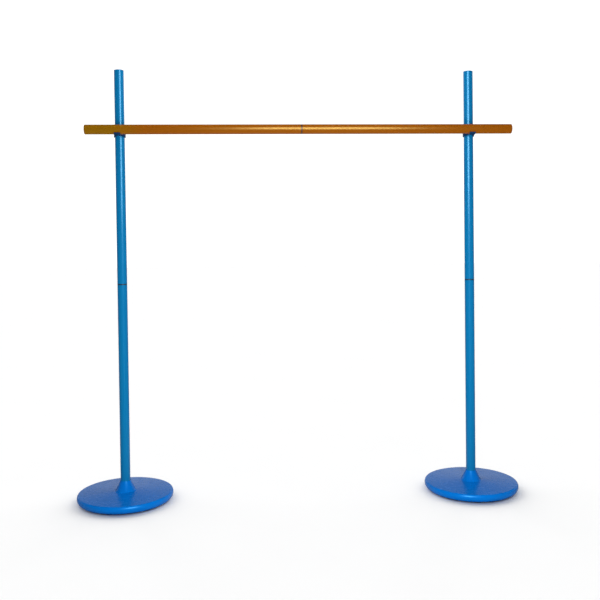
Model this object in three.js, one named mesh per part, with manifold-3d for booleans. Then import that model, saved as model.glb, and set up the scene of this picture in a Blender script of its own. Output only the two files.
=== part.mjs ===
// Limbo / jump-bar set: two weighted stands carry a light crossbar in swivelling clips.
// Units are millimetres. +Z is up, +X runs along the crossbar, and -Y is the front, where the bar hangs.
// The origin lies on the floor, midway between the two stands.
import * as THREE from "three";
import { mergeVertices } from "three/addons/utils/BufferGeometryUtils.js";
import Module from "manifold-3d";

const wasm = await Module();
wasm.setup();

// ---- Driving dimensions ----------------------------------------------------------------------

const GAP = 0.3; // clearance between touching pieces

const STAND_SPACING = 986; // between the two pole axes
const POLE_TOP = 1200;
const TUBE_RADIUS = 13.3; // the poles and the bar are the same tube
const TUBE_WALL = 2;
const JOINT_HEIGHT = 605; // middle of the ring between the lower and the upper tube
const RING_WIDTH = 2.4;
const SPIGOT_LENGTH = 38; // on each side of the ring
const SPIGOT_WALL = 2.2;
const PLUG_TAPER = 1; // spigots and cap plugs narrow by this much at their ends
const PLUG_TAPER_LENGTH = 2;

const BASE_RADIUS = 132;
const BASE_HEIGHT = 23.4; // top of the rounded rim
const RIM_WIDEST = 15; // height at which the rim is widest
const RIM_ROUND = 4.5; // how far the rounding above it reaches in
const RIM_TUCK = 14; // and the longer one below it
const RIM_LOWEST_ANGLE = -72; // the tuck stops here, at the floor plate's edge
const BASE_UNDERSIDE = 1.2; // the rubber ring holds the base this far off the floor
const PLATE_RISE = 3.6; // the top falls this much from the hub to the rim
const SHELL_WALL = 3;
const HUB_TOP = 55;
const HUB_TOP_RADIUS = 14.7;
const HUB_EDGE = 0.6; // height of the small bevel round the hub's top
const HUB_BEVEL = 0.3; // and how far it reaches in
const HUB_FOOT_RADIUS = 28.5;
const HUB_PULL = new THREE.Vector2(20.3, 40); // radius and height that the trumpet curve is drawn towards
const SOCKET_WALL = 3.2;
const FLOOR_PLATE_RADIUS = 120.6;
const FLOOR_PLATE_TOP = 4.5;
const FOOT_RING_INNER = 102;
const FOOT_RING_OUTER = 114;
const FOOT_GROOVE_TOP = 2.6;
const BALLAST_RADIUS = 117;
const BALLAST_TOP = 20.2;

const SCREW_COUNT = 3;
const SCREW_CIRCLE = 70;
const SCREW_RADIUS = 1.6;
const SCREW_HEAD_RADIUS = 3.6;
const SCREW_HEAD_RECESS = 2; // depth of the seat in the floor plate
const SCREW_HEAD_SINK = 0.2; // below the plate's underside
const SCREW_TIP = 2; // length of the point
const SCREW_TOP = 15;
const BOSS_RADIUS = 5;
const BOSS_TOP = BASE_HEIGHT - 1;

const BAR_LENGTH = 1188;
const BAR_OFFSET = 12; // the bar's middle lies a little to the right of the stands' middle
const BAR_HEIGHT = 1031;
const CAP_FLANGE = 2;
const CAP_ROUND = 1.2;
const CAP_PLUG_LENGTH = 18;

const TUBE_FIT = TUBE_RADIUS + GAP; // radius of every bore that takes a tube
const CLIP_OUTER = TUBE_FIT + 2.6;
const CLIP_PAD = 16.2; // from a tube's axis to the flat face on which the clips turn
const CLIP_PAD_GAP = 0.4;
const CLIP_PAD_WIDTH = 16.5;
const CLIP_HEIGHT = 33;
const CLIP_MOUTH = 48; // half the angle of the pole clip's mouth, at the back
const CLIP_LIP_RADIUS = 1.8; // rounded ends of the C, turned outwards so that a tube can snap in
const CLIP_LIP_RUN = 10; // angle that each end takes to swell to its lip
const SCOOP_RADIUS = 12; // hollows above and below the pole clip's front
const SCOOP_FORWARD = 4; // how far each hollow's axis lies in front of the pad
const SCOOP_CLEAR = 7.5; // and how far above or below the clip
const CRADLE_WIDTH = 16.5;
const CRADLE_BACK_TOP = 13.8;
const CRADLE_BACK_BEVEL = 1.2;
const CRADLE_BACK_FOOT = -11.6; // the flat back ends here and runs into the round floor
const CRADLE_FLOOR_START = -50; // angle at which the round floor starts, at the back
const CRADLE_LIP_ANGLE = 227; // angle at which it ends, in front, below level
const CRADLE_LIP_RADIUS = 1.6;
const CRADLE_LIP_RUN = 9;
const PIN_RADIUS = 3;
const PIN_HEAD_RADIUS = 5;
const PIN_HEAD = 1;
const PIN_HEAD_SINK = GAP; // below the clip's bore

const BAR_FORWARD = 2 * CLIP_PAD + CLIP_PAD_GAP; // from the poles' axes to the bar's axis
const SPIGOT_RADIUS = TUBE_RADIUS - TUBE_WALL - GAP;

// ---- Fineness --------------------------------------------------------------------------------

const TUBE_SEGMENTS = 24;
const BASE_SEGMENTS = 40;
const SMALL_SEGMENTS = 12; // screws and bosses
const PIN_SEGMENTS = 16;
const SCOOP_SEGMENTS = 28;
const CLIP_ARC_SEGMENTS = 14; // on each arc of the clips
const RIM_STEPS = 4; // on each of the rim's two arcs
const HUB_STEPS = 5;
const EDGE_STEPS = 3;

// ---- Materials -------------------------------------------------------------------------------

const material = (color, roughness, metalness = 0) =>
  new THREE.MeshStandardMaterial({ color, roughness, metalness });

const FINISH = {
  base: () => material(0x0f66bd, 0.28),
  pole: () => material(0x1f72b0, 0.38),
  bar: () => material(0x9a6208, 0.4),
  clip: () => material(0x0c2f66, 0.45),
  ferrule: () => material(0x14202c, 0.5),
  rubber: () => material(0x17181a, 0.85),
  ballast: () => material(0x8b8780, 0.95),
  floorPlate: () => material(0x15191f, 0.6),
  steel: () => material(0xa9adb2, 0.35, 0.9),
};

// ---- Small tools -----------------------------------------------------------------------------

const radians = THREE.MathUtils.degToRad;

// Points on an ellipse in the (radius, height) plane, from one angle to another.
function arc(radius, height, radiusSize, heightSize, from, to, steps) {
  const points = [];
  for (let i = 0; i <= steps; i += 1) {
    const angle = radians(from + ((to - from) * i) / steps);
    points.push([radius + radiusSize * Math.cos(angle), height + heightSize * Math.sin(angle)]);
  }
  return points;
}

// A solid of revolution about +Y from an outline that runs anticlockwise in (radius, height).
function turned(outline, segments) {
  const points = outline.map(([radius, height]) => new THREE.Vector2(radius, height));
  return new THREE.LatheGeometry(points, segments);
}

// The same about +Z, for what stands upright.
function turnedUpright(outline, segments) {
  return turned(outline, segments).rotateX(Math.PI / 2);
}

// The same about +X, for what lies along the bar.
function turnedAlongBar(outline, segments) {
  return turned(outline, segments).rotateZ(-Math.PI / 2);
}

// The closed outline of a hollow ring with square edges.
function ringOutline(inner, outer, low, high) {
  return [
    [inner, low],
    [outer, low],
    [outer, high],
    [inner, high],
    [inner, low],
  ];
}

function uprightCylinder(x, y, radius, low, high) {
  const cylinder = new THREE.CylinderGeometry(radius, radius, high - low, SMALL_SEGMENTS);
  return cylinder.rotateX(Math.PI / 2).translate(x, y, (low + high) / 2);
}

// A cylinder along Y, centred on the Y axis, between two places on it.
function cylinderAlongY(radius, fromY, toY) {
  const cylinder = new THREE.CylinderGeometry(radius, radius, Math.abs(toY - fromY), PIN_SEGMENTS);
  return cylinder.translate(0, (fromY + toY) / 2, 0);
}

function extruded(shape, depth) {
  return new THREE.ExtrudeGeometry(shape, {
    depth,
    bevelEnabled: false,
    curveSegments: CLIP_ARC_SEGMENTS,
  });
}

function toSolid(geometry) {
  const bare = geometry.clone();
  bare.deleteAttribute("normal");
  bare.deleteAttribute("uv");
  bare.clearGroups();
  const merged = mergeVertices(bare, 1e-4);
  const index = merged.index.array;
  const triangles = [];
  for (let i = 0; i < index.length; i += 3) {
    const [a, b, c] = [index[i], index[i + 1], index[i + 2]];
    if (a !== b && b !== c && a !== c) triangles.push(a, b, c);
  }
  const mesh = new wasm.Mesh({
    numProp: 3,
    vertProperties: new Float32Array(merged.attributes.position.array),
    triVerts: new Uint32Array(triangles),
  });
  return new wasm.Manifold(mesh);
}

function toGeometry(solid) {
  const mesh = solid.getMesh();
  const geometry = new THREE.BufferGeometry();
  geometry.setAttribute("position", new THREE.BufferAttribute(new Float32Array(mesh.vertProperties), 3));
  geometry.setIndex(new THREE.BufferAttribute(new Uint32Array(mesh.triVerts), 1));
  geometry.computeVertexNormals();
  return geometry;
}

// Joins the added geometries to the first one, then cuts the others away.
function carve(body, added, removed) {
  let solid = toSolid(body);
  for (const geometry of added) solid = solid.add(toSolid(geometry));
  for (const geometry of removed) solid = solid.subtract(toSolid(geometry));
  return toGeometry(solid);
}

// One upright cylinder at each of the base's screws.
function atScrews(radius, low, high) {
  return screwPlaces().map(([x, y]) => uprightCylinder(x, y, radius, low, high));
}

function screwPlaces() {
  const places = [];
  for (let i = 0; i < SCREW_COUNT; i += 1) {
    const angle = radians(90 + (360 * i) / SCREW_COUNT);
    places.push([SCREW_CIRCLE * Math.cos(angle), SCREW_CIRCLE * Math.sin(angle)]);
  }
  return places;
}

// ---- Base ------------------------------------------------------------------------------------

// Moulded shell: round rim, gently falling top, trumpet hub and the socket that takes the pole.
function baseCover() {
  const edgeCentre = BASE_RADIUS - RIM_ROUND;
  const edgeHeight = BASE_HEIGHT - RIM_WIDEST;
  const plateTop = BASE_HEIGHT + PLATE_RISE;
  const recess = FLOOR_PLATE_RADIUS + GAP;
  const socketOuter = TUBE_FIT + SOCKET_WALL;
  const innerFoot = FLOOR_PLATE_TOP + GAP;
  const tuckHeight = RIM_WIDEST - BASE_UNDERSIDE;
  const tuck = arc(BASE_RADIUS - RIM_TUCK, RIM_WIDEST, RIM_TUCK, tuckHeight, RIM_LOWEST_ANGLE, 0, RIM_STEPS);
  const edge = arc(edgeCentre, RIM_WIDEST, RIM_ROUND, edgeHeight, 0, 90, RIM_STEPS);
  const innerRound = RIM_ROUND - SHELL_WALL;
  const inside = arc(edgeCentre, RIM_WIDEST, innerRound, edgeHeight - SHELL_WALL, 90, 0, EDGE_STEPS);
  const trumpet = new THREE.QuadraticBezierCurve(
    new THREE.Vector2(HUB_FOOT_RADIUS, plateTop),
    HUB_PULL,
    new THREE.Vector2(HUB_TOP_RADIUS, HUB_TOP - HUB_EDGE),
  );
  const rimFoot = tuck[0][1];
  const outline = [
    [recess, rimFoot],
    ...tuck,
    ...edge.slice(1),
    ...trumpet.getPoints(HUB_STEPS).map((point) => [point.x, point.y]),
    [HUB_TOP_RADIUS - HUB_BEVEL, HUB_TOP],
    [TUBE_FIT, HUB_TOP],
    [TUBE_FIT, innerFoot],
    [socketOuter, innerFoot],
    [socketOuter, plateTop - SHELL_WALL],
    ...inside,
    [recess, innerFoot],
    [recess, rimFoot],
  ];
  const shell = turnedUpright(outline, BASE_SEGMENTS);
  const bosses = atScrews(BOSS_RADIUS, innerFoot, BOSS_TOP);
  const pilots = atScrews(SCREW_RADIUS + GAP, 0, SCREW_TOP + 2 * GAP);
  return carve(shell, bosses, pilots);
}

function ballast() {
  const inner = TUBE_FIT + SOCKET_WALL + GAP;
  const outline = ringOutline(inner, BALLAST_RADIUS, FLOOR_PLATE_TOP + GAP, BALLAST_TOP);
  return carve(turnedUpright(outline, BASE_SEGMENTS), [], atScrews(BOSS_RADIUS + GAP, 0, HUB_TOP));
}

// Closes the shell from below: a groove takes the rubber ring, and three seats take the screw heads.
function floorPlate() {
  const grooveTop = FOOT_GROOVE_TOP + GAP;
  const outline = [
    [0, BASE_UNDERSIDE],
    [FOOT_RING_INNER - GAP, BASE_UNDERSIDE],
    [FOOT_RING_INNER - GAP, grooveTop],
    [FOOT_RING_OUTER + GAP, grooveTop],
    [FOOT_RING_OUTER + GAP, BASE_UNDERSIDE],
    [FLOOR_PLATE_RADIUS, BASE_UNDERSIDE],
    [FLOOR_PLATE_RADIUS, FLOOR_PLATE_TOP],
    [0, FLOOR_PLATE_TOP],
  ];
  const shanks = atScrews(SCREW_RADIUS + GAP, 0, HUB_TOP);
  const seats = atScrews(SCREW_HEAD_RADIUS + GAP, 0, BASE_UNDERSIDE + SCREW_HEAD_RECESS);
  return carve(turnedUpright(outline, BASE_SEGMENTS), [], [...shanks, ...seats]);
}

function footRing() {
  return turnedUpright(ringOutline(FOOT_RING_INNER, FOOT_RING_OUTER, 0, FOOT_GROOVE_TOP), BASE_SEGMENTS);
}

function screw() {
  const headLow = BASE_UNDERSIDE + SCREW_HEAD_SINK;
  const headHigh = BASE_UNDERSIDE + SCREW_HEAD_RECESS - GAP;
  const outline = [
    [0, headLow],
    [SCREW_HEAD_RADIUS, headLow],
    [SCREW_HEAD_RADIUS, headHigh],
    [SCREW_RADIUS, headHigh],
    [SCREW_RADIUS, SCREW_TOP - SCREW_TIP],
    [0, SCREW_TOP],
  ];
  return turnedUpright(outline, SMALL_SEGMENTS);
}

// ---- Tubes -----------------------------------------------------------------------------------

function tubeOutline(low, high) {
  return ringOutline(TUBE_RADIUS - TUBE_WALL, TUBE_RADIUS, low, high);
}

// Hollow connector: a spigot for each tube, and the dark ring that shows between them.
function ferruleOutline(middle) {
  const bore = SPIGOT_RADIUS - SPIGOT_WALL;
  const half = RING_WIDTH / 2;
  return [
    [bore, middle - SPIGOT_LENGTH],
    [SPIGOT_RADIUS - PLUG_TAPER, middle - SPIGOT_LENGTH],
    [SPIGOT_RADIUS, middle - SPIGOT_LENGTH + PLUG_TAPER_LENGTH],
    [SPIGOT_RADIUS, middle - half],
    [TUBE_RADIUS, middle - half],
    [TUBE_RADIUS, middle + half],
    [SPIGOT_RADIUS, middle + half],
    [SPIGOT_RADIUS, middle + SPIGOT_LENGTH - PLUG_TAPER_LENGTH],
    [SPIGOT_RADIUS - PLUG_TAPER, middle + SPIGOT_LENGTH],
    [bore, middle + SPIGOT_LENGTH],
    [bore, middle - SPIGOT_LENGTH],
  ];
}

// Push-in end cap: a plug inside the tube and a flange with a rounded edge over its end.
function capOutline(end) {
  const plugEnd = end - CAP_FLANGE - CAP_PLUG_LENGTH;
  return [
    [0, plugEnd],
    [SPIGOT_RADIUS - PLUG_TAPER, plugEnd],
    [SPIGOT_RADIUS, plugEnd + PLUG_TAPER_LENGTH],
    [SPIGOT_RADIUS, end - CAP_FLANGE],
    [TUBE_RADIUS, end - CAP_FLANGE],
    ...arc(TUBE_RADIUS - CAP_ROUND, end - CAP_ROUND, CAP_ROUND, CAP_ROUND, 0, 90, EDGE_STEPS),
    [0, end],
  ];
}

// ---- Clips -----------------------------------------------------------------------------------

// What the swivel pin takes out of a clip whose pad lies on the given side (+1 back, -1 front).
function pinCuts(side) {
  const seatDepth = TUBE_FIT + PIN_HEAD_SINK + PIN_HEAD + GAP;
  const hole = cylinderAlongY(PIN_RADIUS + GAP, 0, side * (CLIP_PAD + GAP));
  const seat = cylinderAlongY(PIN_HEAD_RADIUS + GAP, 0, side * seatDepth);
  return [hole, seat];
}

// Half a circle round the end of a curved arm whose bore ends at the given angle.
function roundEnd(shape, angle, radius, from, to, clockwise) {
  const place = TUBE_FIT + radius;
  shape.absarc(place * Math.cos(angle), place * Math.sin(angle), radius, from, to, clockwise);
}

// C-shaped collar round the pole: its mouth is at the back and its flat pad in front.
function poleClip() {
  const padHalf = CLIP_PAD_WIDTH / 2;
  const padAngle = Math.asin(padHalf / CLIP_OUTER);
  const back = Math.PI / 2;
  const rightEnd = back - radians(CLIP_MOUTH);
  const leftEnd = back + radians(CLIP_MOUTH);
  const run = radians(CLIP_LIP_RUN);
  const shape = new THREE.Shape();
  shape.absarc(0, 0, TUBE_FIT, leftEnd, rightEnd + 2 * Math.PI, false);
  roundEnd(shape, rightEnd, CLIP_LIP_RADIUS, rightEnd + Math.PI, rightEnd, true);
  shape.absarc(0, 0, CLIP_OUTER, rightEnd - run, -back + padAngle, true);
  shape.lineTo(padHalf, -CLIP_PAD);
  shape.lineTo(-padHalf, -CLIP_PAD);
  shape.absarc(0, 0, CLIP_OUTER, -back - padAngle, leftEnd + run - 2 * Math.PI, true);
  roundEnd(shape, leftEnd, CLIP_LIP_RADIUS, leftEnd, leftEnd + Math.PI, true);
  const collar = extruded(shape, CLIP_HEIGHT).translate(0, 0, -CLIP_HEIGHT / 2);
  const scoops = [-1, 1].map((side) =>
    new THREE.CylinderGeometry(SCOOP_RADIUS, SCOOP_RADIUS, 4 * CLIP_OUTER, SCOOP_SEGMENTS)
      .rotateZ(Math.PI / 2)
      .translate(0, -CLIP_PAD - SCOOP_FORWARD, side * (CLIP_HEIGHT / 2 + SCOOP_CLEAR)),
  );
  return carve(collar, [], [...scoops, ...pinCuts(-1)]);
}

// J-shaped cradle with the bar's axis at (0, 0): flat back, round floor and a short front lip.
// It is drawn from the side, with the back at +X of the drawing, then turned so that +X becomes +Y.
function barCradle() {
  const lip = radians(CRADLE_LIP_ANGLE);
  const lipRun = radians(CRADLE_LIP_RUN);
  const floorStart = radians(CRADLE_FLOOR_START);
  const backMiddle = (TUBE_FIT + CLIP_PAD) / 2;
  const shape = new THREE.Shape();
  shape.moveTo(TUBE_FIT, CRADLE_BACK_TOP);
  shape.absarc(0, 0, TUBE_FIT, 0, lip - 2 * Math.PI, true);
  roundEnd(shape, lip, CRADLE_LIP_RADIUS, lip + Math.PI, lip + 2 * Math.PI, false);
  shape.absarc(0, 0, CLIP_OUTER, lip + lipRun, floorStart + 2 * Math.PI, false);
  shape.lineTo(CLIP_PAD, CRADLE_BACK_FOOT);
  shape.lineTo(CLIP_PAD, CRADLE_BACK_TOP);
  shape.lineTo(backMiddle, CRADLE_BACK_TOP + CRADLE_BACK_BEVEL);
  shape.closePath();
  const alongBar = new THREE.Matrix4().makeBasis(
    new THREE.Vector3(0, 1, 0),
    new THREE.Vector3(0, 0, 1),
    new THREE.Vector3(1, 0, 0),
  );
  const hook = extruded(shape, CRADLE_WIDTH).applyMatrix4(alongBar).translate(-CRADLE_WIDTH / 2, 0, 0);
  return carve(hook, [], pinCuts(1));
}

// Rivet that joins the two clips and lets them turn: a shaft with a flat head at each end.
function swivelPin() {
  const half = BAR_FORWARD / 2 - TUBE_FIT - PIN_HEAD_SINK;
  const outline = [
    [0, -half],
    [PIN_HEAD_RADIUS, -half],
    [PIN_HEAD_RADIUS, -half + PIN_HEAD],
    [PIN_RADIUS, -half + PIN_HEAD],
    [PIN_RADIUS, half - PIN_HEAD],
    [PIN_HEAD_RADIUS, half - PIN_HEAD],
    [PIN_HEAD_RADIUS, half],
    [0, half],
  ];
  return turned(outline, PIN_SEGMENTS);
}

// ---- Assembly --------------------------------------------------------------------------------

function named(name, geometry, finish, x = 0, y = 0, z = 0) {
  const mesh = new THREE.Mesh(geometry, finish());
  mesh.name = name;
  mesh.position.set(x, y, z);
  return mesh;
}

function stand(side) {
  const ringHalf = RING_WIDTH / 2 + GAP;
  const lowerTube = tubeOutline(FLOOR_PLATE_TOP + GAP, JOINT_HEIGHT - ringHalf);
  const upperTube = tubeOutline(JOINT_HEIGHT + ringHalf, POLE_TOP - CAP_FLANGE - GAP);
  const upright = (outline) => turnedUpright(outline, TUBE_SEGMENTS);
  const group = new THREE.Group();
  group.add(
    named(`${side}_base_cover`, baseCover(), FINISH.base),
    named(`${side}_base_ballast`, ballast(), FINISH.ballast),
    named(`${side}_base_floor_plate`, floorPlate(), FINISH.floorPlate),
    named(`${side}_base_foot_ring`, footRing(), FINISH.rubber),
    named(`${side}_lower_tube`, upright(lowerTube), FINISH.pole),
    named(`${side}_tube_ferrule`, upright(ferruleOutline(JOINT_HEIGHT)), FINISH.ferrule),
    named(`${side}_upper_tube`, upright(upperTube), FINISH.pole),
    named(`${side}_top_cap`, upright(capOutline(POLE_TOP)), FINISH.pole),
    named(`${side}_pole_clip`, poleClip(), FINISH.clip, 0, 0, BAR_HEIGHT),
    named(`${side}_swivel_pin`, swivelPin(), FINISH.steel, 0, -BAR_FORWARD / 2, BAR_HEIGHT),
    named(`${side}_bar_cradle`, barCradle(), FINISH.clip, 0, -BAR_FORWARD, BAR_HEIGHT),
  );
  screwPlaces().forEach(([x, y], i) => {
    group.add(named(`${side}_base_screw_${i + 1}`, screw(), FINISH.steel, x, y));
  });
  return group;
}

// Two equal tubes on one connector, each closed by a cap.
function crossbar() {
  const half = BAR_LENGTH / 2;
  const tube = tubeOutline(RING_WIDTH / 2 + GAP, half - CAP_FLANGE - GAP);
  const toRight = (outline) => turnedAlongBar(outline, TUBE_SEGMENTS);
  const toLeft = (outline) => toRight(outline).rotateZ(Math.PI);
  const group = new THREE.Group();
  group.add(
    named("crossbar_left_tube", toLeft(tube), FINISH.bar),
    named("crossbar_right_tube", toRight(tube), FINISH.bar),
    named("crossbar_ferrule", toRight(ferruleOutline(0)), FINISH.ferrule),
    named("crossbar_left_cap", toLeft(capOutline(half)), FINISH.bar),
    named("crossbar_right_cap", toRight(capOutline(half)), FINISH.bar),
  );
  return group;
}

const leftStand = stand("left");
leftStand.position.x = -STAND_SPACING / 2;

const rightStand = stand("right");
rightStand.position.x = STAND_SPACING / 2;

const bar = crossbar();
bar.position.set(BAR_OFFSET, -BAR_FORWARD, BAR_HEIGHT);

const limboSet = new THREE.Group();
limboSet.add(leftStand, rightStand, bar);

export default limboSet;
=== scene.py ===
"""Limbo / jump-bar set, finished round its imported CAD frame.

Metres, +Z up, +X along the crossbar, -Y the front, where the bar hangs.
"""
import math

import bmesh
import bpy
from mathutils import Matrix, Vector


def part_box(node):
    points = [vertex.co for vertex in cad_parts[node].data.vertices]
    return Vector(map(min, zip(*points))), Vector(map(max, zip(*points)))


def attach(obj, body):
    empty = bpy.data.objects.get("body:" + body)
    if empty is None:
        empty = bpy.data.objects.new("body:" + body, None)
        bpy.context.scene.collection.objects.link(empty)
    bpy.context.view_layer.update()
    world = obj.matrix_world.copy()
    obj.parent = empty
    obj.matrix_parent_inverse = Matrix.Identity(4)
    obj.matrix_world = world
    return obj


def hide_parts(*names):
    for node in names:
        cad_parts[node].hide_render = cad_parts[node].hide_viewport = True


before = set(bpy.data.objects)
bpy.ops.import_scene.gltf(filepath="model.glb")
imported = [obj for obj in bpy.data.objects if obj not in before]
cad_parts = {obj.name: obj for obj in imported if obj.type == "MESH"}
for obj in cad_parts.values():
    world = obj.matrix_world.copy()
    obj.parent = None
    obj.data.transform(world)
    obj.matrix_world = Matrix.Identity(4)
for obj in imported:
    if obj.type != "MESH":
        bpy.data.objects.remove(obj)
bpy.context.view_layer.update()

MM = 0.001
SIDES = ("left", "right")


# ---- Places and sizes, all from the frame ------------------------------------------------------

def middle(node):
    """The middle of a CAD node's box."""
    low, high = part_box(node)
    return (low + high) / 2


def span(node):
    """The size of a CAD node's box."""
    low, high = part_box(node)
    return high - low


def foot_of(node):
    """The point on the floor under the middle of a CAD node."""
    point = middle(node)
    return (point.x, point.y, 0)


GAP = 0.3 * MM  # clearance between touching pieces, as in the CAD model
EDGE = 0.25 * MM  # the small round on moulded and cut edges
THROUGH = 1  # metres, past whatever a through hole is cut in

# Tubes, their connectors and caps
TUBE_RADIUS = span("left_upper_tube").x / 2
TUBE_WALL = 2 * MM
TUBE_FIT = TUBE_RADIUS + GAP  # radius of every bore that takes a tube
SPIGOT_RADIUS = TUBE_RADIUS - TUBE_WALL - GAP
SPIGOT_WALL = 2.2 * MM
SPIGOT_ROUND = 1 * MM
RING_WIDTH = 2.4 * MM
CAP_FLANGE = 2 * MM
CAP_ROUND = 1 * MM
GATE_RADIUS = 2.2 * MM
GATE_DEPTH = 0.3 * MM

# Bases: heights are above the floor
RIM_TOP = 23.4 * MM
RIM_WIDEST = 15 * MM  # height at which the rim is widest
RIM_ROUND = 4.5 * MM  # how far in from there its top edge ends
RIM_TUCK = 14 * MM  # and its underside
RIM_LOWEST_ANGLE = -72  # degrees, where the underside meets the floor plate
RIM_FILLET = 2 * MM
PLATE_TOP = 27 * MM  # height of the falling top where the hub begins
SHELL_WALL = 3 * MM
SOCKET_WALL = 3.2 * MM
SOCKET_ROUND = 0.3 * MM
HUB_FOOT_RADIUS = 28.5 * MM
HUB_FOOT_FILLET = 5 * MM
HUB_FILLET_POINTS = 3  # of the hub's curve, which that fillet takes up
HUB_PULL = Vector((20.3 * MM, 40 * MM))  # radius and height that the hub's curve is drawn towards
HUB_TOP_RADIUS = 14.7 * MM
HUB_TOP_EDGE = 0.8 * MM
HUB_TOP_ROUND = 0.5 * MM
FOOT_RING_WIDTH = 12 * MM
FOOT_RING_ROUND = 0.5 * MM

# Clips: places are measured from a tube's axis, angles are in degrees
BAR_AXIS = middle("crossbar_ferrule")
CLIP_OUTER = TUBE_FIT + 2.6 * MM
CLIP_PAD = -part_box("left_pole_clip")[0].y  # to the face on which the clips turn
CLIP_PAD_WIDTH = 16.5 * MM
CLIP_HEIGHT = span("left_pole_clip").z
CLIP_EDGE = 0.5 * MM
MOUTH_ANGLE = 48  # from the middle of the mouth to its lip
MOUTH_LIP = 1.8 * MM
MOUTH_LIP_SPAN = 10  # what the lip takes up of the collar's outside
SCOOP_RADIUS = 12 * MM
SCOOP_HALF_LENGTH = 40 * MM
SCOOP_FORWARD = 4 * MM  # the scoop's axis is this far in front of the pad
SCOOP_CLEAR = 7.5 * MM  # and this far above or below the collar
CRADLE_WIDTH = span("left_bar_cradle").x
CRADLE_BACK_TOP = 13.8 * MM
CRADLE_BACK_PEAK = 1.2 * MM
CRADLE_BACK_FOOT = -11.6 * MM
CRADLE_FLOOR_END = 310  # where the round floor turns into the back
CRADLE_EDGE = 0.45 * MM
CRADLE_LIP = 1.6 * MM
CRADLE_LIP_ANGLE = 227
CRADLE_LIP_SPAN = 9
PIN_RADIUS = 3 * MM
PIN_HEAD_RADIUS = 5 * MM
PIN_HEAD = 1 * MM
PIN_HEAD_ROUND = 0.35 * MM

# Screws under the bases
SCREWS = 3
SCREW_RADIUS = 1.6 * MM
SCREW_HEAD_RADIUS = 3.6 * MM
SCREW_HEAD_HEIGHT = 1.5 * MM
SCREW_HEAD_ROUND = 0.45 * MM
SCREW_SEAT = 2 * MM  # depth of the floor plate's seat for the head
SCREW_TIP = 2 * MM
THREAD_PITCH = 1.2 * MM
THREAD_DEPTH = 0.35 * MM
CROSS_LENGTH = 4 * MM
CROSS_WIDTH = 0.8 * MM
CROSS_DEPTH = 1 * MM

# Fineness of the finished surfaces
BASE_SEGMENTS = 160
TUBE_SEGMENTS = 96
SMALL_SEGMENTS = 48
CLIP_STEPS = 40
LIP_STEPS = 12
RIM_STEPS = 16
HUB_STEPS = 24
SHARP_ANGLE = 40  # degrees
SCREW_SHARP_ANGLE = 35


# ---- Outlines ----------------------------------------------------------------------------------

def arc(x, y, x_radius, y_radius, start, stop, steps):
    """Points on an ellipse round (x, y), from one angle in degrees to another."""
    points = []
    for i in range(steps + 1):
        angle = math.radians(start + (stop - start) * i / steps)
        points.append(Vector((x + x_radius * math.cos(angle), y + y_radius * math.sin(angle))))
    return points


def bezier(start, pull, end, steps):
    """Points on a quadratic curve from start to end, drawn towards pull."""
    points = []
    for i in range(steps + 1):
        t = i / steps
        points.append(start * (1 - t) ** 2 + pull * (2 * t * (1 - t)) + end * t ** 2)
    return points


def rounded(corners, steps=4):
    """A closed outline of (x, y, fillet) corners. A fillet of 0 leaves the corner as it is."""
    points = []
    for i, (x, y, fillet) in enumerate(corners):
        here = Vector((x, y))
        if fillet == 0:
            points.append(here)
            continue
        before = (Vector(corners[i - 1][:2]) - here).normalized()
        after = (Vector(corners[(i + 1) % len(corners)][:2]) - here).normalized()
        half = before.angle(after) / 2
        centre = here + (before + after).normalized() * fillet / math.sin(half)
        start = here + before * fillet / math.tan(half) - centre
        turn = start.angle_signed(here + after * fillet / math.tan(half) - centre)
        for k in range(steps + 1):
            spoke = start.copy()
            spoke.rotate(Matrix.Rotation(-turn * k / steps, 2))
            points.append(centre + spoke)
    return points


def sharp(points):
    """The points as corners with no fillet."""
    return [(p[0], p[1], 0) for p in points]


def without_doubles(points):
    """The closed outline without the points that lie on the one before."""
    return [p for i, p in enumerate(points) if (p - points[i - 1]).length > 1e-6]


# ---- Meshes ------------------------------------------------------------------------------------

def put_in_scene(name, data):
    """Makes an object of the data and links it to the scene."""
    item = bpy.data.objects.new(name, data)
    bpy.context.scene.collection.objects.link(item)
    return item


def finish_mesh(name, bm):
    """Turns a bmesh into an object with smooth, face-weighted normals."""
    bmesh.ops.remove_doubles(bm, verts=bm.verts, dist=1e-7)
    bmesh.ops.recalc_face_normals(bm, faces=bm.faces)
    mesh = bpy.data.meshes.new(name)
    bm.to_mesh(mesh)
    bm.free()
    piece = put_in_scene(name, mesh)
    smooth(piece)
    return piece


def smooth(piece, sharp_angle=SHARP_ANGLE):
    """Smooth, face-weighted normals, apart from edges sharper than the angle in degrees."""
    piece.data.shade_smooth()
    piece.data.set_sharp_from_angle(angle=math.radians(sharp_angle))
    weighted = piece.modifiers.new("weighted_normals", "WEIGHTED_NORMAL")
    weighted.keep_sharp = True


def settle(piece):
    """Applies every modifier of the piece to its mesh."""
    view_layer = bpy.context.view_layer
    view_layer.update()
    evaluated = piece.evaluated_get(bpy.context.evaluated_depsgraph_get())
    mesh = bpy.data.meshes.new_from_object(evaluated)
    piece.modifiers.clear()
    piece.data = mesh
    mesh.name = piece.name
    return piece


UPRIGHT = Matrix.Identity(4)
ALONG_X = Matrix.Rotation(math.pi / 2, 4, "Y")
ALONG_Y = Matrix.Rotation(-math.pi / 2, 4, "X")


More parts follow.
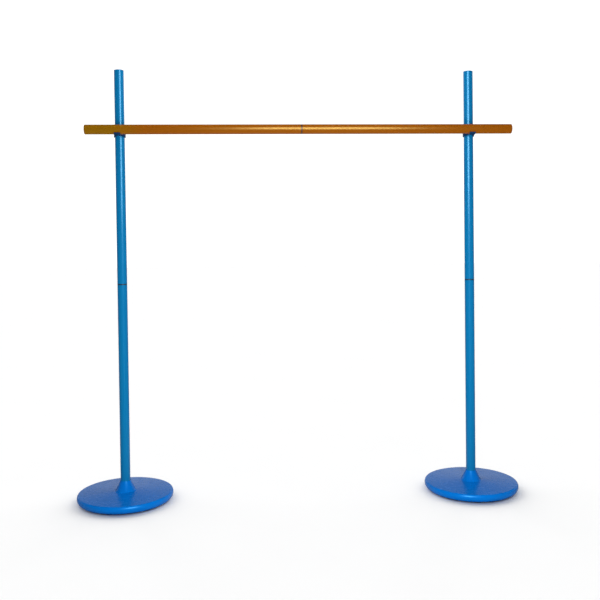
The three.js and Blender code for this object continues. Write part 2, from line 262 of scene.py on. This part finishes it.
def turned(name, outline, segments, place=(0, 0, 0), turn=UPRIGHT):
    """A solid of revolution of a closed (radius, height) outline, turned, then put in place."""
    bm = bmesh.new()
    rings = []
    for radius, height in outline:
        if radius < 1e-7:
            rings.append([bm.verts.new((0, 0, height))] * segments)
            continue
        ring = []
        for k in range(segments):
            angle = 2 * math.pi * k / segments
            ring.append(bm.verts.new((radius * math.cos(angle), radius * math.sin(angle), height)))
        rings.append(ring)
    for i, ring in enumerate(rings):
        other = rings[i - 1]
        for k in range(segments):
            after = (k + 1) % segments
            corners = list(dict.fromkeys((ring[k], ring[after], other[after], other[k])))
            if len(corners) > 2:
                bm.faces.new(corners)
    bm.transform(Matrix.Translation(place) @ turn)
    return finish_mesh(name, bm)


def extruded(name, outline, depth, transform):
    """A prism of a closed outline, from -depth/2 to depth/2 along the drawing's Z."""
    bm = bmesh.new()
    low = [bm.verts.new((x, y, -depth / 2)) for x, y in outline]
    high = [bm.verts.new((x, y, depth / 2)) for x, y in outline]
    bm.faces.new(low)
    bm.faces.new(high)
    for i in range(len(outline)):
        bm.faces.new((low[i - 1], low[i], high[i], high[i - 1]))
    bm.transform(transform)
    return finish_mesh(name, bm)


def carved(piece, cutters):
    """Cuts the cutters out of the piece and removes them."""
    for i, cutter in enumerate(cutters):
        cutter.modifiers.clear()
        cut = piece.modifiers.new(f"cut_{i}", "BOOLEAN")
        cut.operation = "DIFFERENCE"
        cut.solver = "EXACT"
        cut.object = cutter
    settle(piece)
    for cutter in cutters:
        bpy.data.objects.remove(cutter)
    return piece


def with_soft_edges(piece, width):
    """Rounds every sharp edge of the piece by the given width."""
    bevel = piece.modifiers.new("soft_edges", "BEVEL")
    bevel.width = width
    bevel.segments = 3
    bevel.limit_method = "ANGLE"
    bevel.angle_limit = math.radians(SHARP_ANGLE)
    settle(piece)
    smooth(piece)
    return settle(piece)


# ---- Materials ---------------------------------------------------------------------------------

FADE_FULL, FADE_NONE = -0.51, -0.42  # where along X the left end's fading is full, and ends


class Surface:
    """One node material: a Principled shader and short ways to vary what it takes."""

    def __init__(self, name):
        self.material = bpy.data.materials.new(name)
        self.material.use_nodes = True
        self.nodes = self.material.node_tree.nodes
        self.links = self.material.node_tree.links
        self.shader = self.nodes["Principled BSDF"]
        self.place = self.nodes.new("ShaderNodeTexCoord").outputs["Object"]

    def set(self, **values):
        for key, value in values.items():
            self.shader.inputs[key.replace("_", " ")].default_value = value

    def noise(self, scale, detail=2.0, stretch=(1, 1, 1), roughness=0.5):
        """A noise from 0 to 1 with a feature size of 1 / scale metres."""
        mapping = self.nodes.new("ShaderNodeMapping")
        mapping.inputs["Scale"].default_value = stretch
        self.links.new(self.place, mapping.inputs["Vector"])
        texture = self.nodes.new("ShaderNodeTexNoise")
        texture.inputs["Scale"].default_value = scale
        texture.inputs["Detail"].default_value = detail
        texture.inputs["Roughness"].default_value = roughness
        self.links.new(mapping.outputs["Vector"], texture.inputs["Vector"])
        return texture.outputs["Fac"]

    def spread(self, value, from_low, from_high, low, high):
        """Maps a value from one range to another and clamps it."""
        node = self.nodes.new("ShaderNodeMapRange")
        for key, number in zip(("From Min", "From Max", "To Min", "To Max"),
                               (from_low, from_high, low, high)):
            node.inputs[key].default_value = number
        self.links.new(value, node.inputs["Value"])
        return node.outputs["Result"]

    def mix(self, factor, first, second):
        """A colour that goes from the first to the second with the factor."""
        node = self.nodes.new("ShaderNodeMix")
        node.data_type = "RGBA"
        for socket, colour in ((node.inputs[6], first), (node.inputs[7], second)):
            if isinstance(colour, bpy.types.NodeSocket):
                self.links.new(colour, socket)
            else:
                socket.default_value = (*colour, 1)
        self.links.new(factor, node.inputs["Factor"])
        return node.outputs[2]

    def colour(self, value):
        self.links.new(value, self.shader.inputs["Base Color"])

    def roughness(self, value):
        self.links.new(value, self.shader.inputs["Roughness"])

    def bump(self, value, depth, strength=1.0):
        """Gives the surface relief of the given depth in metres."""
        node = self.nodes.new("ShaderNodeBump")
        node.inputs["Distance"].default_value = depth
        node.inputs["Strength"].default_value = strength
        self.links.new(value, node.inputs["Height"])
        self.links.new(node.outputs["Normal"], self.shader.inputs["Normal"])


def base_plastic():
    """Glossy moulded plastic: faint orange peel, a little cloudiness and light handling scuffs."""
    s = Surface("base_plastic")
    clouds = s.spread(s.noise(14, 3), 0.35, 0.65, 0, 1)
    s.colour(s.mix(clouds, (0.0, 0.118, 0.45), (0.0, 0.126, 0.48)))
    s.roughness(s.spread(s.noise(60, 5, roughness=0.65), 0.5, 0.8, 0.26, 0.36))
    s.bump(s.noise(260, 2), 0.01 * MM, 0.4)
    s.set(IOR=1.42, Specular_Tint=(0.1, 0.45, 0.75, 1))
    return s.material


def tube_plastic(name, dark, light, faded, tint, stretch):
    """Extruded tube: drawing lines along its length, slow changes of tone, a faded left end."""
    s = Surface(name)
    tone = s.spread(s.noise(9, 2, stretch), 0.3, 0.7, 0, 1)
    position = s.nodes.new("ShaderNodeSeparateXYZ")
    s.links.new(s.place, position.inputs[0])
    fade = s.spread(position.outputs["X"], FADE_FULL, FADE_NONE, 1, 0)
    s.colour(s.mix(fade, s.mix(tone, dark, light), faded))
    lines = s.noise(500, 3, stretch)
    s.roughness(s.spread(lines, 0.3, 0.7, 0.24, 0.3))
    s.bump(lines, 0.002 * MM, 0.3)
    s.set(IOR=1.54, Specular_Tint=(*tint, 1))
    return s.material


def clip_plastic():
    """Satin navy moulding with a fine eroded texture."""
    s = Surface("clip_plastic")
    tone = s.spread(s.noise(60, 3), 0.3, 0.7, 0, 1)
    s.colour(s.mix(tone, (0.001, 0.018, 0.062), (0.002, 0.024, 0.082)))
    grain = s.noise(2600, 2)
    s.roughness(s.spread(grain, 0.3, 0.7, 0.3, 0.4))
    s.bump(grain, 0.01 * MM, 0.4)
    s.set(IOR=1.54, Specular_Tint=(0.45, 0.55, 0.7, 1))
    return s.material


def grained(name, dark, light, scale, detail, roughness, relief, strength):
    """Matt moulding whose colour, roughness (a range) and relief follow one grain."""
    s = Surface(name)
    grain = s.noise(scale, detail)
    s.colour(s.mix(grain, dark, light))
    s.roughness(s.spread(grain, 0.3, 0.7, *roughness))
    s.bump(grain, relief, strength)
    return s.material


def ballast_cement():
    """Rough cast cement with dark specks."""
    s = Surface("ballast_cement")
    lumps = s.noise(160, 6, roughness=0.7)
    specks = s.spread(s.noise(900, 2), 0.55, 0.62, 0, 1)
    body = s.mix(lumps, (0.17, 0.16, 0.145), (0.36, 0.34, 0.31))
    s.colour(s.mix(specks, body, (0.12, 0.11, 0.1)))
    s.roughness(s.spread(lumps, 0.2, 0.8, 0.85, 0.98))
    s.bump(lumps, 0.6 * MM, 0.8)
    return s.material


def zinc_steel():
    """Dull zinc-plated steel with faint streaks."""
    s = Surface("steel")
    streaks = s.noise(800, 3, (1, 1, 0.15))
    s.colour(s.mix(streaks, (0.13, 0.135, 0.145), (0.2, 0.205, 0.21)))
    s.roughness(s.spread(streaks, 0.3, 0.7, 0.46, 0.6))
    s.bump(streaks, 0.01 * MM, 0.5)
    s.set(Metallic=1.0)
    return s.material


BASE = base_plastic()
POLE = tube_plastic("pole_plastic", dark=(0.0003, 0.125, 0.3), light=(0.0005, 0.135, 0.325),
                    faded=(0.0004, 0.13, 0.31), tint=(0.2, 0.5, 0.7), stretch=(1, 1, 0.02))
BAR = tube_plastic("bar_plastic", dark=(0.205, 0.054, 0.0003), light=(0.225, 0.059, 0.0003),
                   faded=(0.185, 0.08, 0.0003), tint=(0.62, 0.48, 0.14), stretch=(0.02, 1, 1))
CLIP = clip_plastic()
FERRULE = grained("ferrule_plastic", dark=(0.006, 0.009, 0.014), light=(0.014, 0.02, 0.03),
                  scale=1800, detail=3, roughness=(0.42, 0.56), relief=0.02 * MM, strength=0.5)
RUBBER = grained("foot_rubber", dark=(0.008, 0.008, 0.009), light=(0.022, 0.022, 0.024),
                 scale=1200, detail=4, roughness=(0.75, 0.92), relief=0.06 * MM, strength=0.7)
CEMENT = ballast_cement()
PLATE = grained("plate_plastic", dark=(0.006, 0.008, 0.011), light=(0.014, 0.017, 0.022),
                scale=700, detail=3, roughness=(0.5, 0.66), relief=0.05 * MM, strength=0.6)
STEEL = zinc_steel()


def finished(piece, node, body, material):
    """Gives a piece its material and lets it stand for its CAD node on that node's body."""
    piece.data.materials.clear()
    piece.data.materials.append(material)
    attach(piece, body)
    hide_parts(node)
    return piece


# ---- Base --------------------------------------------------------------------------------------

def base_cover(side):
    """Shell with a round rim, a gently falling top, a trumpet hub and the pole's socket."""
    node = f"{side}_base_cover"
    low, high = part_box(node)
    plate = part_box(f"{side}_base_floor_plate")
    radius = (high.x - low.x) / 2
    recess = (plate[1].x - plate[0].x) / 2 + GAP
    inner_foot = plate[1].z + GAP
    tuck = arc(radius - RIM_TUCK, RIM_WIDEST, RIM_TUCK, RIM_WIDEST - plate[0].z,
               RIM_LOWEST_ANGLE, 0, RIM_STEPS)
    edge = arc(radius - RIM_ROUND, RIM_WIDEST, RIM_ROUND, RIM_TOP - RIM_WIDEST, 0, 90, RIM_STEPS)
    inside = arc(radius - RIM_ROUND, RIM_WIDEST, RIM_ROUND - SHELL_WALL,
                 RIM_TOP - RIM_WIDEST - SHELL_WALL, 90, 0, RIM_STEPS // 2)
    hub_foot = Vector((HUB_FOOT_RADIUS, PLATE_TOP))
    hub_shoulder = Vector((HUB_TOP_RADIUS, high.z - HUB_TOP_EDGE))
    hub = bezier(hub_foot, HUB_PULL, hub_shoulder, HUB_STEPS)
    outline = rounded([
        (recess, tuck[0].y, EDGE),
        *sharp(tuck),
        *sharp(edge[1:-1]),
        (edge[-1].x, edge[-1].y, RIM_FILLET),
        (hub_foot.x, hub_foot.y, HUB_FOOT_FILLET),
        *sharp(hub[HUB_FILLET_POINTS:]),
        (HUB_TOP_RADIUS, high.z, HUB_TOP_ROUND),
        (TUBE_FIT, high.z, SOCKET_ROUND),
        (TUBE_FIT, inner_foot, 0),
        (TUBE_FIT + SOCKET_WALL, inner_foot, 0),
        (TUBE_FIT + SOCKET_WALL, PLATE_TOP - SHELL_WALL, 0),
        *sharp(inside),
        (recess, inner_foot, 0),
    ])
    piece = turned(f"{side}_base_shell", outline, BASE_SEGMENTS, foot_of(node))
    return finished(settle(piece), node, f"{side}_stand", BASE)


def foot_ring(side):
    """Rubber ring in the floor plate's groove, on which the stand rests."""
    node = f"{side}_base_foot_ring"
    low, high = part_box(node)
    outer = (high.x - low.x) / 2
    inner = outer - FOOT_RING_WIDTH
    outline = rounded([
        (inner, low.z, FOOT_RING_ROUND),
        (outer, low.z, FOOT_RING_ROUND),
        (outer, high.z, EDGE),
        (inner, high.z, EDGE),
    ])
    piece = turned(f"{side}_rubber_ring", outline, BASE_SEGMENTS, foot_of(node))
    return finished(settle(piece), node, f"{side}_stand", RUBBER)


def floor_plate(side):
    """Disc under the shell: a groove for the rubber ring and a seat for each screw head."""
    node = f"{side}_base_floor_plate"
    low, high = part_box(node)
    ring = span(f"{side}_base_foot_ring")
    groove_outer = ring.x / 2 + GAP
    groove_inner = ring.x / 2 - FOOT_RING_WIDTH - GAP
    groove_top = ring.z + GAP
    outline = rounded([
        (0, low.z, 0),
        (groove_inner, low.z, EDGE),
        (groove_inner, groove_top, 0),
        (groove_outer, groove_top, 0),
        (groove_outer, low.z, EDGE),
        ((high.x - low.x) / 2, low.z, EDGE),
        ((high.x - low.x) / 2, high.z, EDGE),
        (0, high.z, 0),
    ])
    piece = turned(f"{side}_under_plate", outline, BASE_SEGMENTS, foot_of(node))
    seat = low.z + SCREW_SEAT
    below = -1 * MM
    cutters = []
    for number in range(1, SCREWS + 1):
        place = foot_of(f"{side}_base_screw_{number}")
        for radius, top in ((SCREW_RADIUS + GAP, THROUGH), (SCREW_HEAD_RADIUS + GAP, seat)):
            hole = [(0, below), (radius, below), (radius, top), (0, top)]
            cutters.append(turned("cutter", hole, SMALL_SEGMENTS, place))
    carved(piece, cutters)
    smooth(piece)
    return finished(settle(piece), node, f"{side}_stand", PLATE)


def screw(side, number):
    """Pan-head screw, head down, with a cross recess."""
    node = f"{side}_base_screw_{number}"
    low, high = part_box(node)
    head_top = low.z + SCREW_HEAD_HEIGHT
    core = SCREW_RADIUS - THREAD_DEPTH
    outline = [
        (0, low.z, 0),
        (SCREW_HEAD_RADIUS, low.z, SCREW_HEAD_ROUND),
        (SCREW_HEAD_RADIUS, head_top, EDGE),
        (core, head_top, 0),
    ]
    height = head_top + THREAD_PITCH / 2
    while height < high.z - SCREW_TIP:
        outline.append((SCREW_RADIUS, height, 0))
        outline.append((core, height + THREAD_PITCH / 2, 0))
        height += THREAD_PITCH
    outline.append((0, high.z, 0))
    axis = foot_of(node)
    piece = turned(f"{side}_base_fastener_{number}", rounded(outline), SMALL_SEGMENTS, axis)
    along, across = CROSS_LENGTH / 2, CROSS_WIDTH / 2
    slot = [(-along, -across), (along, -across), (along, across), (-along, across)]
    place = Matrix.Translation((*axis[:2], low.z))
    turns = (Matrix.Rotation(k * math.pi / 2, 4, "Z") for k in range(2))
    carved(piece, [extruded("cutter", slot, 2 * CROSS_DEPTH, place @ turn) for turn in turns])
    smooth(piece, SCREW_SHARP_ANGLE)
    return finished(settle(piece), node, f"{side}_stand", STEEL)


def ballast(side):
    """The cement ring stays the CAD node, and only takes its finish."""
    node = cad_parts[f"{side}_base_ballast"]
    node.data.materials.clear()
    node.data.materials.append(CEMENT)


# ---- Tubes -------------------------------------------------------------------------------------

def tube(name, node, body, low, high, place, turn, material, slot):
    """Hollow tube from one height to another along its own axis."""
    outline = rounded([
        (TUBE_RADIUS - TUBE_WALL, low, EDGE),
        (TUBE_RADIUS, low, EDGE),
        (TUBE_RADIUS, high, EDGE),
        (TUBE_RADIUS - TUBE_WALL, high, EDGE),
    ])
    piece = turned(name, outline, TUBE_SEGMENTS, place, turn)
    return finished(settle(piece), node, body, material)


def ferrule(name, node, body, length, place, turn):
    """Hollow connector: a spigot for each tube, and the ring that shows between them."""
    bore = SPIGOT_RADIUS - SPIGOT_WALL
    ring = RING_WIDTH / 2
    half = length / 2
    outline = rounded([
        (bore, -half, EDGE),
        (SPIGOT_RADIUS, -half, SPIGOT_ROUND),
        (SPIGOT_RADIUS, -ring, 0),
        (TUBE_RADIUS, -ring, EDGE),
        (TUBE_RADIUS, ring, EDGE),
        (SPIGOT_RADIUS, ring, 0),
        (SPIGOT_RADIUS, half, SPIGOT_ROUND),
        (bore, half, EDGE),
    ])
    piece = turned(name, outline, TUBE_SEGMENTS, place, turn)
    return finished(settle(piece), node, body, FERRULE)


def cap(name, node, body, end, length, place, turn, material):
    """Push-in cap: a plug in the tube, a rounded flange over its end and a shallow gate mark."""
    flange = end - CAP_FLANGE
    outline = rounded([
        (0, end - length, 0),
        (SPIGOT_RADIUS, end - length, SPIGOT_ROUND),
        (SPIGOT_RADIUS, flange, 0),
        (TUBE_RADIUS, flange, 0.15 * MM),
        (TUBE_RADIUS, end, CAP_ROUND),
        (GATE_RADIUS, end, 0.2 * MM),
        (GATE_RADIUS - GATE_DEPTH, end - GATE_DEPTH, 0.2 * MM),
        (0, end - GATE_DEPTH, 0),
    ], steps=6)
    piece = turned(name, outline, TUBE_SEGMENTS, place, turn)
    return finished(settle(piece), node, body, material)


def pole(side):
    """One side's two tubes, the connector between them and the cap on top."""
    place = foot_of(f"{side}_lower_tube")
    joint = middle(f"{side}_tube_ferrule")
    for part in ("lower", "upper"):
        low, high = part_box(f"{side}_{part}_tube")
        tube(f"{side}_{part}_pole", f"{side}_{part}_tube", f"{side}_{part}_pole",
             low.z, high.z, place, UPRIGHT, POLE, "pole_plastic")
    ferrule(f"{side}_pole_connector", f"{side}_tube_ferrule", f"{side}_lower_pole",
            span(f"{side}_tube_ferrule").z, joint, UPRIGHT)
    node = f"{side}_top_cap"
    cap(f"{side}_pole_cap", node, f"{side}_upper_pole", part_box(node)[1].z, span(node).z,
        place, UPRIGHT, POLE)


def crossbar():
    """Both halves of the bar with their caps, and the connector in the middle."""
    for side, sign in (("left", -1), ("right", 1)):
        body = f"bar_{side}_half"
        turn = ALONG_X if sign > 0 else ALONG_X @ Matrix.Rotation(math.pi, 4, "X")
        node = f"crossbar_{side}_tube"
        ends = sorted(abs(corner.x - BAR_AXIS.x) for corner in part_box(node))
        tube(f"bar_{side}_tube", node, body, *ends, BAR_AXIS, turn, BAR, "bar_plastic")
        node = f"crossbar_{side}_cap"
        end = max(abs(corner.x - BAR_AXIS.x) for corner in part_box(node))
        cap(f"bar_{side}_cap", node, body, end, span(node).x, BAR_AXIS, turn, BAR)
    ferrule("bar_connector", "crossbar_ferrule", "bar_left_half", span("crossbar_ferrule").x,
            BAR_AXIS, ALONG_X)


# ---- Clips -------------------------------------------------------------------------------------

def pin_cutters(place, side):
    """What the swivel pin takes out of a clip; side is +1 where the pad is behind the bore."""
    cutters = []
    depth = TUBE_FIT + GAP + PIN_HEAD + GAP
    for radius, length in ((PIN_RADIUS + GAP, CLIP_PAD + GAP), (PIN_HEAD_RADIUS + GAP, depth)):
        outline = [(0, 0), (radius, 0), (radius, side * length), (0, side * length)]
        cutters.append(turned("cutter", outline, SMALL_SEGMENTS, place, ALONG_Y))
    return cutters


def lip_arc(radius, angle, start, stop):
    """The round end, at the given angle, of a wall that follows the tube."""
    place = TUBE_FIT + radius
    x, y = place * math.cos(math.radians(angle)), place * math.sin(math.radians(angle))
    return arc(x, y, radius, radius, start, stop, LIP_STEPS)


def pole_clip(side):
    """C-shaped collar round the pole: its mouth is at the back and its flat pad in front."""
    node = f"{side}_pole_clip"
    centre = middle(node)
    place = Vector((centre.x, 0, centre.z))
    pad_half = CLIP_PAD_WIDTH / 2
    pad_angle = math.degrees(math.asin(pad_half / CLIP_OUTER))
    right_end, left_end = 90 - MOUTH_ANGLE, 90 + MOUTH_ANGLE
    outer_right, outer_left = right_end - MOUTH_LIP_SPAN, left_end + MOUTH_LIP_SPAN
    outline = [
        *arc(0, 0, TUBE_FIT, TUBE_FIT, left_end, right_end + 360, 2 * CLIP_STEPS),
        *lip_arc(MOUTH_LIP, right_end, right_end + 180, right_end),
        *arc(0, 0, CLIP_OUTER, CLIP_OUTER, outer_right, -90 + pad_angle, CLIP_STEPS),
        Vector((pad_half, -CLIP_PAD)),
        Vector((-pad_half, -CLIP_PAD)),
        *arc(0, 0, CLIP_OUTER, CLIP_OUTER, -90 - pad_angle, outer_left - 360, CLIP_STEPS),
        *lip_arc(MOUTH_LIP, left_end, left_end, left_end - 180),
    ]
    piece = extruded(f"{side}_collar", without_doubles(outline), CLIP_HEIGHT,
                     Matrix.Translation(place))
    cutters = []
    for end in (-1, 1):
        height = end * (CLIP_HEIGHT / 2 + SCOOP_CLEAR)
        where = place + Vector((0, -CLIP_PAD - SCOOP_FORWARD, height))
        scoop = [(0, -SCOOP_HALF_LENGTH), (SCOOP_RADIUS, -SCOOP_HALF_LENGTH),
                 (SCOOP_RADIUS, SCOOP_HALF_LENGTH), (0, SCOOP_HALF_LENGTH)]
        cutters.append(turned("cutter", scoop, TUBE_SEGMENTS, where, ALONG_X))
    carved(piece, cutters + pin_cutters(place, -1))
    with_soft_edges(piece, CLIP_EDGE)
    return finished(piece, node, f"{side}_clip", CLIP)


def bar_cradle(side):
    """J-shaped cradle under the bar: flat back, round floor and a short front lip."""
    node = f"{side}_bar_cradle"
    place = Vector((middle(node).x, BAR_AXIS.y, BAR_AXIS.z))
    lip = CRADLE_LIP_ANGLE
    outline = [
        Vector((TUBE_FIT, CRADLE_BACK_TOP)),
        *arc(0, 0, TUBE_FIT, TUBE_FIT, 0, lip - 360, 2 * CLIP_STEPS),
        *lip_arc(CRADLE_LIP, lip, lip + 180, lip + 360),
        *arc(0, 0, CLIP_OUTER, CLIP_OUTER, lip + CRADLE_LIP_SPAN, CRADLE_FLOOR_END, CLIP_STEPS),
        Vector((CLIP_PAD, CRADLE_BACK_FOOT)),
        Vector((CLIP_PAD, CRADLE_BACK_TOP)),
        Vector(((TUBE_FIT + CLIP_PAD) / 2, CRADLE_BACK_TOP + CRADLE_BACK_PEAK)),
    ]
    along_bar = Matrix(((0, 0, 1, 0), (1, 0, 0, 0), (0, 1, 0, 0), (0, 0, 0, 1)))
    piece = extruded(f"{side}_hook", without_doubles(outline), CRADLE_WIDTH,
                     Matrix.Translation(place) @ along_bar)
    carved(piece, pin_cutters(place, 1))
    with_soft_edges(piece, CRADLE_EDGE)
    return finished(piece, node, f"{side}_cradle", CLIP)


def swivel_pin(side):
    """Rivet through both pads, with a flat round head in each clip."""
    node = f"{side}_swivel_pin"
    half = span(node).y / 2
    outline = rounded([
        (0, -half, 0),
        (PIN_HEAD_RADIUS, -half, PIN_HEAD_ROUND),
        (PIN_HEAD_RADIUS, -half + PIN_HEAD, EDGE),
        (PIN_RADIUS, -half + PIN_HEAD, 0),
        (PIN_RADIUS, half - PIN_HEAD, 0),
        (PIN_HEAD_RADIUS, half - PIN_HEAD, EDGE),
        (PIN_HEAD_RADIUS, half, PIN_HEAD_ROUND),
        (0, half, 0),
    ])
    piece = turned(f"{side}_rivet", outline, SMALL_SEGMENTS, middle(node), ALONG_Y)
    return finished(settle(piece), node, f"{side}_clip", STEEL)


# ---- Stage -------------------------------------------------------------------------------------

CAMERA_PLACE = (-0.12229, -2.06393, 0.6966)
CAMERA_YAW, CAMERA_PITCH, CAMERA_ROLL = 3.53273, -1.14084, -0.67768  # degrees
CAMERA_LENS = 43.766
CAMERA_SHIFT = -0.06
BACKDROP = 1.2  # brightness that the camera sees past the floor
ROOM_LIGHT = 0.4  # brightness that lights the set
ROOM_REFLECTION = 0.04  # brightness that the gloss mirrors, apart from the band
# The band behind the set that the gloss mirrors: brightness by the height of the direction
BAND = ((0.0, 0.03), (0.12, 0.3), (0.19, 1.4), (0.24, 1.15), (0.31, 0.3), (0.38, 0.06), (0.6, 0.03))
BAND_FULL = 0.7  # how far back a direction points where the band is at its full brightness
SUN_AZIMUTHS = (-50, 0, 50)
FLOOR_HALF_SIZE = 30
FLOOR_DROP = 0.05 * MM
FLOOR_BRIGHTNESS = 0.94
FLOOR_CLOUDS = 0.01  # how far its tone wanders from that
FLOOR_REFLECTION = 0.05  # brightness in reflections beyond FLOOR_FAR from the middle
FLOOR_REFLECTION_NEAR = 0.5  # and within FLOOR_NEAR
FLOOR_NEAR, FLOOR_FAR = 0.5, 0.8


def camera():
    """Puts the camera two metres in front and a little left of the middle, below the bar."""
    yaw, pitch, roll = (math.radians(angle) for angle in (CAMERA_YAW, CAMERA_PITCH, CAMERA_ROLL))
    level = math.cos(pitch)
    ahead = Vector((math.sin(yaw) * level, math.cos(yaw) * level, math.sin(pitch)))
    right = Vector((math.cos(yaw), -math.sin(yaw), 0))
    up = right.cross(ahead)
    rolled_right = math.cos(roll) * right + math.sin(roll) * up
    rolled_up = math.cos(roll) * up - math.sin(roll) * right
    data = bpy.data.cameras.new("camera")
    data.lens = CAMERA_LENS
    data.sensor_width = 36
    data.shift_y = CAMERA_SHIFT
    item = put_in_scene("camera", data)
    turn = Matrix((rolled_right, rolled_up, -ahead)).transposed()
    item.matrix_world = Matrix.Translation(CAMERA_PLACE) @ turn.to_4x4()
    bpy.context.scene.camera = item


def area_light(name, place, target, width, height, power):
    """A rectangular softbox aimed at the target, unseen by the camera."""
    data = bpy.data.lights.new(name, "AREA")
    data.shape = "RECTANGLE"
    data.size = width
    data.size_y = height
    data.energy = power
    item = put_in_scene(name, data)
    item.location = place
    item.rotation_mode = "QUATERNION"
    item.rotation_quaternion = (Vector(target) - Vector(place)).to_track_quat("-Z", "Y")
    item.visible_camera = False
    return item


def sun(name, azimuth, elevation, spread, strength):
    """A wide sun that shines from the given compass direction, in degrees from +Y towards +X."""
    data = bpy.data.lights.new(name, "SUN")
    data.angle = math.radians(spread)
    data.energy = strength
    item = put_in_scene(name, data)
    around, up = math.radians(azimuth), math.radians(elevation)
    level = math.cos(up)
    towards = Vector((math.sin(around) * level, math.cos(around) * level, math.sin(up)))
    item.rotation_mode = "QUATERNION"
    item.rotation_quaternion = towards.to_track_quat("Z", "Y")
    return item


def room():
    """White room: even light for surfaces, and a dim reflection with a lit band low behind."""
    world = bpy.data.worlds.new("room")
    bpy.context.scene.world = world
    world.use_nodes = True
    nodes, links = world.node_tree.nodes, world.node_tree.links
    background = nodes["Background"]
    direction = nodes.new("ShaderNodeSeparateXYZ")
    links.new(nodes.new("ShaderNodeTexCoord").outputs["Generated"], direction.inputs[0])
    behind = nodes.new("ShaderNodeMapRange")
    behind.interpolation_type = "SMOOTHSTEP"
    behind.inputs["From Max"].default_value = BAND_FULL
    links.new(direction.outputs["Y"], behind.inputs["Value"])
    band = nodes.new("ShaderNodeValToRGB")
    ramp = band.color_ramp
    for element, (height, brightness) in zip(ramp.elements, (BAND[0], BAND[-1])):
        element.position = height
        element.color = (brightness, brightness, brightness, 1)
    for height, brightness in BAND[1:-1]:
        ramp.elements.new(height).color = (brightness, brightness, brightness, 1)
    links.new(direction.outputs["Z"], band.inputs[0])
    reflected = nodes.new("ShaderNodeMix")
    reflected.inputs[2].default_value = ROOM_REFLECTION
    links.new(behind.outputs["Result"], reflected.inputs[0])
    links.new(band.outputs["Color"], reflected.inputs[3])
    path = nodes.new("ShaderNodeLightPath")
    glossy = nodes.new("ShaderNodeMix")
    glossy.inputs[2].default_value = ROOM_LIGHT
    links.new(path.outputs["Is Glossy Ray"], glossy.inputs[0])
    links.new(reflected.outputs[0], glossy.inputs[3])
    seen = nodes.new("ShaderNodeMix")
    seen.inputs[3].default_value = BACKDROP
    links.new(path.outputs["Is Camera Ray"], seen.inputs[0])
    links.new(glossy.outputs[0], seen.inputs[2])
    links.new(seen.outputs[0], background.inputs["Strength"])
    background.inputs["Color"].default_value = (1, 1, 1, 1)
    world.cycles.sampling_method = "NONE"


def lights(ground, covers):
    """One softbox for the gloss of the tubes and one for the bases, a broad fill and a light
    from above for the whole set, and three low suns behind for the floor."""
    key = area_light("key", place=(0.16, -0.95, 1.28), target=(0.16, 0, 1.28),
                     width=0.6, height=0.78, power=35)
    key.visible_diffuse = False
    fill = area_light("fill", place=(0.12, -1.3, 0.45), target=(0.05, 0, 0.4),
                      width=0.9, height=1.1, power=20.5)
    fill.visible_glossy = False
    overhead = area_light("overhead", place=(0, -0.1, 2.2), target=(0, 0, 0),
                          width=1.3, height=0.5, power=18)
    overhead.visible_glossy = False
    low_key = area_light("low_key", place=(0.02, -1.15, 0.39), target=(0, 0, 0.04),
                         width=0.5, height=0.2, power=25)
    low_key.visible_diffuse = False
    restrict(key, [ground, *covers], "EXCLUDE")
    restrict(low_key, covers, "INCLUDE")
    for item in (fill, overhead):
        restrict(item, [ground], "EXCLUDE")
    for azimuth in SUN_AZIMUTHS:
        low_sun = sun("low_sun", azimuth, elevation=26, spread=60, strength=1.6)
        restrict(low_sun, [ground], "INCLUDE")
    bpy.context.scene.view_settings.view_transform = "Standard"


def restrict(light, receivers, state):
    """Lets a light fall only on the receivers, or on everything but them."""
    group = bpy.data.collections.new(f"{light.name}_receivers")
    for receiver in receivers:
        group.objects.link(receiver)
    for entry in group.collection_objects:
        entry.light_linking.link_state = state
    light.light_linking.receiver_collection = group


def floor():
    """Wide white floor, dim in reflections as the room is."""
    bm = bmesh.new()
    bmesh.ops.create_grid(bm, x_segments=1, y_segments=1, size=FLOOR_HALF_SIZE)
    bm.transform(Matrix.Translation((0, 0, -FLOOR_DROP)))
    mesh = bpy.data.meshes.new("floor")
    bm.to_mesh(mesh)
    bm.free()
    item = put_in_scene("floor", mesh)
    s = Surface("floor")
    dark, light = FLOOR_BRIGHTNESS - FLOOR_CLOUDS, FLOOR_BRIGHTNESS + FLOOR_CLOUDS
    white = s.mix(s.noise(3, 2), (dark, dark, dark), (light, light, light))
    distance = s.nodes.new("ShaderNodeVectorMath")
    distance.operation = "LENGTH"
    s.links.new(s.place, distance.inputs[0])
    near = s.spread(distance.outputs["Value"], FLOOR_NEAR, FLOOR_FAR,
                    FLOOR_REFLECTION_NEAR, FLOOR_REFLECTION)
    path = s.nodes.new("ShaderNodeLightPath")
    s.colour(s.mix(path.outputs["Is Glossy Ray"], white, near))
    s.set(Roughness=1.0, IOR=1.0)
    item.data.materials.append(s.material)
    return item


# ---- Assembly ----------------------------------------------------------------------------------

covers = []
for side in SIDES:
    covers.append(base_cover(side))
    foot_ring(side)
    floor_plate(side)
    ballast(side)
    for number in range(1, SCREWS + 1):
        screw(side, number)
    pole(side)
    pole_clip(side)
    swivel_pin(side)
    bar_cradle(side)
crossbar()

camera()
room()
lights(floor(), covers)
